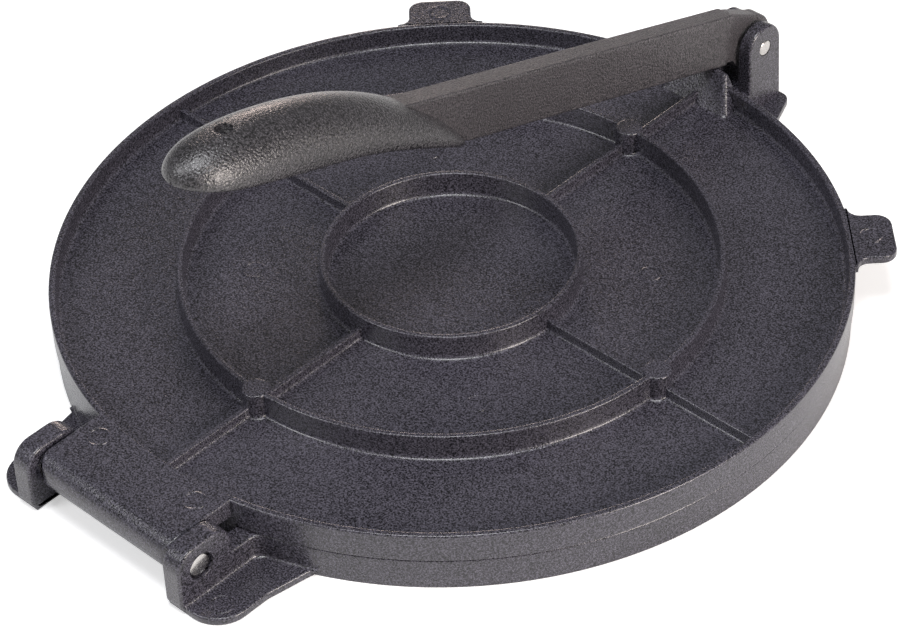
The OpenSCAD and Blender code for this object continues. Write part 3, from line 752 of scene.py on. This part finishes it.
# Bar: its side outline carried across and narrowed towards the hub. Inside the grip its underside stays above
# the side edges
def leverBar():
    end, top, low, corner = lever["barEnd"], lever["top"], -lever["drop"], lever["barCorner"]
    outline = roundedOutline([[lever["barStart"], low, corner], [end, low, 0], [end, top, 0],
                              [lever["barStartTop"], top, corner]])
    half = lever["width"] / 2
    vertices, faces = stand(slab(outline, -half, half, lever["barEdge"]), [2, 0, 1])
    share = np.clip((end - vertices[:, 1]) / end, 0, 1)
    vertices[:, 0] *= 1 - share * (1 - lever["hubEndWidth"] / lever["width"])
    inGrip = vertices[:, 1] > lever["gripStart"]
    lowest = gripEdge(vertices[inGrip, 1]) + lever["barInGrip"]
    vertices[inGrip, 2] = np.maximum(vertices[inGrip, 2], lowest)
    return vertices, faces


# Hub: a disc round the pin, and a narrower hump whose crest runs on into the top of the bar
def leverHub():
    angle = np.linspace(0, 2 * math.pi, lever["hubSides"] + 1)[:-1]
    disc = lever["hubRadius"] * np.stack([np.cos(angle), np.sin(angle)], 1)
    end, top = lever["humpEnd"], lever["top"] - lever["humpDip"]
    low = lever["humpLift"] - lever["drop"]
    hump = roundedOutline([[0, low, 0], [end, low, 0], [end, top, 0],
                           [lever["barStartTop"], top, lever["humpBend"]],
                           [0, lever["hubRadius"] - lever["humpInset"], 0]], steps=10)
    half, inset = lever["hubWidth"] / 2, lever["humpInset"]
    shapes = [slab(disc, -half, half, lever["hubEdge"], hole=(0, 0, lever["hubHole"]), step=fineStep),
              slab(hump, -half + inset, half - inset, lever["hubEdge"])]
    return stand(joined(shapes), [2, 0, 1])


# Height of the grip's side edges: a power curve up from the bar's underside to their level stretch
def gripEdge(s):
    left = np.clip(1 - (s - lever["gripStart"]) / lever["sweep"], 0, 1)
    return lever["edgeRise"] - (lever["edgeRise"] + lever["drop"]) * left ** lever["sweepPower"]


rootReach, tipReach = lever["crownAt"] - lever["gripStart"], lever["length"] - lever["crownAt"]


# Half-width and rise of the dome at s, made smaller by inset. The crown is a power of one less the share
# squared, which falls to the bar and to a blunt tip
def gripSection(s, inset):
    reach = np.where(s < lever["crownAt"], rootReach, tipReach)
    share = np.clip((s - lever["crownAt"]) / reach, -lever["gripEnds"], lever["gripEnds"])
    half = lever["halfWidth"] * np.sqrt(1 - np.abs(share) ** lever["planPower"])
    low = np.where(share < 0, -lever["drop"], lever["edgeRise"])
    power = np.where(share < 0, lever["rootPower"], lever["tipPower"])
    crown = low + (lever["edgeRise"] + lever["dome"] - low) * (1 - share ** 2) ** power
    rise = np.maximum(crown - gripEdge(s), lever["leastRise"])
    return [np.maximum(size - inset, size * lever["leastShare"]) for size in (half, rise)]


# Height of the dome over the place (x, s): the ellipse of the section there
def domeHeight(x, s, inset):
    half, rise = gripSection(s, inset)
    return gripEdge(s) + rise * np.sqrt(np.clip(1 - (x / half) ** 2, 0, 1))


# Grip: at each place an outer half ellipse from edge to edge over the crown and an inner one back, a wall
# apart, joined by round lips. The cells over the hanging hole are left out, their edges drawn to its circle
# and bridged
def leverGrip():
    rows, steps, lipPoints = 97, 64, 5
    share = lever["gripEnds"] * np.sin(np.linspace(-np.pi / 2, np.pi / 2, rows))
    s = lever["crownAt"] + share * np.where(share < 0, rootReach, tipReach)
    angle = np.linspace(0, np.pi, steps + 1)
    place = np.broadcast_to(s[:, None], (rows, steps + 1)).copy()
    half, _ = gripSection(s, 0)
    innerHalf, _ = gripSection(s, lever["wall"])
    outerX, innerX = half[:, None] * np.cos(angle), innerHalf[:, None] * np.cos(angle)
    cellX = (outerX[:-1, :-1] + outerX[1:, 1:]) / 2
    cellS = (place[:-1, :-1] + place[1:, 1:]) / 2 - lever["holeAt"]
    cut = np.hypot(cellX, cellS) < lever["holeRadius"]
    framed = np.pad(cut, 1)
    corners = np.stack([framed[:-1, :-1], framed[1:, :-1], framed[:-1, 1:], framed[1:, 1:]])
    border = corners.any(0) & ~corners.all(0)
    around = np.arctan2(place[border] - lever["holeAt"], outerX[border])
    innerS = place.copy()
    for x, along in ((outerX, place), (innerX, innerS)):
        x[border] = lever["holeRadius"] * np.cos(around)
        along[border] = lever["holeAt"] + lever["holeRadius"] * np.sin(around)
    outer = np.stack([outerX, place, domeHeight(outerX, place, 0)], -1)
    inner = np.stack([innerX, innerS, domeHeight(innerX, innerS, lever["wall"])], -1)
    edge = gripEdge(s)[:, None]
    outer[:, [0, -1], 2], inner[:, [0, -1], 2] = edge, edge
    lip = np.linspace(0, np.pi, lipPoints + 2)[1:-1]
    middle, width = ((half + innerHalf) / 2)[:, None], ((half - innerHalf) / 2)[:, None]
    lipX = middle + width * np.cos(lip)
    lipN = edge - np.minimum(width, lever["lip"]) * np.sin(lip)
    lipS = np.broadcast_to(s[:, None], lipX.shape)
    rightLip = np.stack([lipX, lipS, lipN], -1)[:, ::-1]
    leftLip = np.stack([-lipX, lipS, lipN], -1)
    ring = np.concatenate([outer, leftLip, inner[:, ::-1], rightLip], 1)
    count = ring.shape[1]
    keep = np.ones((rows - 1, count), bool)
    row, step = np.nonzero(cut)
    last = 2 * steps + 1 + lipPoints
    keep[row, step] = False
    keep[row, last - 1 - step] = False
    faces = gridQuads(rows, count)[keep.ravel()].tolist()
    row, step = np.nonzero(framed[1:-1, :-1] != framed[1:-1, 1:])
    ends = [(row, step, row + 1, step)]
    row, step = np.nonzero(framed[:-1, 1:-1] != framed[1:, 1:-1])
    ends += [(row, step, row, step + 1)]
    for r0, a0, r1, a1 in ends:
        bridge = [r0 * count + a0, r1 * count + a1, r1 * count + last - a1, r0 * count + last - a0]
        faces += np.stack(bridge, 1).tolist()
    return ring.reshape(-1, 3), faces + endFaces(rows, count)


grip = makePiece("leverGrip", onLever(leverGrip()), "lever", gripCoat, crease=50)
makePiece("leverBar", onLever(leverBar()), "lever", leverCoat)
makePiece("leverHub", onLever(leverHub()), "lever", leverCoat)
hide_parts("lever")
print("stage 6: lever ready")

# ---- floor, light and camera

stageValues = dict(
    floorSize=1.9, floorColour=(0.93, 0.93, 0.93, 1), floorRoughness=0.9, floorLift=0.45, skyStrength=0.2,
    white=(1, 1, 1, 1), lampTarget=Vector((0, 0, 0.03)),
    top=dict(place=(0.2, -0.25, 1.4), size=0.5, power=11.0, colour=(0.97, 0.98, 1.0)),
    front=dict(place=(-0.4, -1.0, 0.9), size=0.42, power=5.5, colour=(0.98, 0.98, 1.0)),
    side=dict(place=(1.5, 0.1, 0.6), size=0.6, power=22.0, colour=(1.0, 0.91, 0.85)),
    back=dict(place=(-1.2, 1.1, 0.3), size=0.25, power=3.0, colour=(1.0, 0.82, 0.74)),
)


# Pale floor, with a glow that only the camera sees
def makeFloor():
    half = stageValues["floorSize"] / 2
    mesh = bpy.data.meshes.new("floor")
    corners = [(-half, -half, 0), (half, -half, 0), (half, half, 0), (-half, half, 0)]
    mesh.from_pydata(corners, [], [(0, 1, 2, 3)])
    floor = bpy.data.objects.new("floor", mesh)
    bpy.context.scene.collection.objects.link(floor)
    material, nodes, links = newMaterial("paleFloor")
    surface = nodes["Principled BSDF"]
    setInputs(surface, {"Base Color": stageValues["floorColour"], "Roughness": stageValues["floorRoughness"],
                        "Specular IOR Level": 0.0, "Emission Color": stageValues["white"]})
    path = nodes.new("ShaderNodeLightPath")
    lift = mathNode(nodes, "MULTIPLY", stageValues["floorLift"])
    links.new(path.outputs["Is Camera Ray"], lift.inputs[0])
    links.new(lift.outputs[0], surface.inputs["Emission Strength"])
    mesh.materials.append(material)


def makeLamp(name, values, target):
    light = bpy.data.lights.new(name, "AREA")
    light.size = values["size"]
    light.energy = values["power"]
    light.color = values["colour"]
    lamp = bpy.data.objects.new(name, light)
    lamp.location = values["place"]
    lamp.rotation_euler = (target - lamp.location).to_track_quat("-Z", "Y").to_euler()
    bpy.context.scene.collection.objects.link(lamp)


# White to the camera, dimmer as a light
def makeSky():
    world = bpy.data.worlds.new("paleSky")
    world.use_nodes = True
    nodes, links = world.node_tree.nodes, world.node_tree.links
    sky = nodes["Background"]
    sky.inputs["Color"].default_value = stageValues["white"]
    path = nodes.new("ShaderNodeLightPath")
    strength = nodes.new("ShaderNodeMapRange")
    strength.inputs["To Min"].default_value = stageValues["skyStrength"]
    links.new(path.outputs["Is Camera Ray"], strength.inputs["Value"])
    links.new(strength.outputs["Result"], sky.inputs["Strength"])
    bpy.context.scene.world = world


view = dict(azimuth=math.radians(45.08), elevation=math.radians(40.42), roll=math.radians(-2.68),
            distance=1013.44 * mm, target=Vector((20.88 * mm, -24.22 * mm, 21.8 * mm)),
            lens=128.35, sensor=36.0)


def makeCamera():
    camera = bpy.data.objects.new("camera", bpy.data.cameras.new("camera"))
    camera.data.lens = view["lens"]
    camera.data.sensor_width = view["sensor"]
    camera.data.sensor_fit = "HORIZONTAL"
    flat = math.cos(view["elevation"])
    back = Vector((math.sin(view["azimuth"]) * flat, -math.cos(view["azimuth"]) * flat,
                   math.sin(view["elevation"])))
    place = view["target"] + back * view["distance"]
    turn = (-back).to_track_quat("-Z", "Y").to_matrix() @ Matrix.Rotation(view["roll"], 3, "Z")
    camera.matrix_world = Matrix.Translation(place) @ turn.to_4x4()
    bpy.context.scene.collection.objects.link(camera)
    bpy.context.scene.camera = camera


makeFloor()
makeSky()
for lampName in ("top", "front", "side", "back"):
    makeLamp(lampName, stageValues[lampName], stageValues["lampTarget"])
makeCamera()
bpy.context.scene.view_settings.view_transform = "Standard"
print("stage 7: floor, light and camera ready")
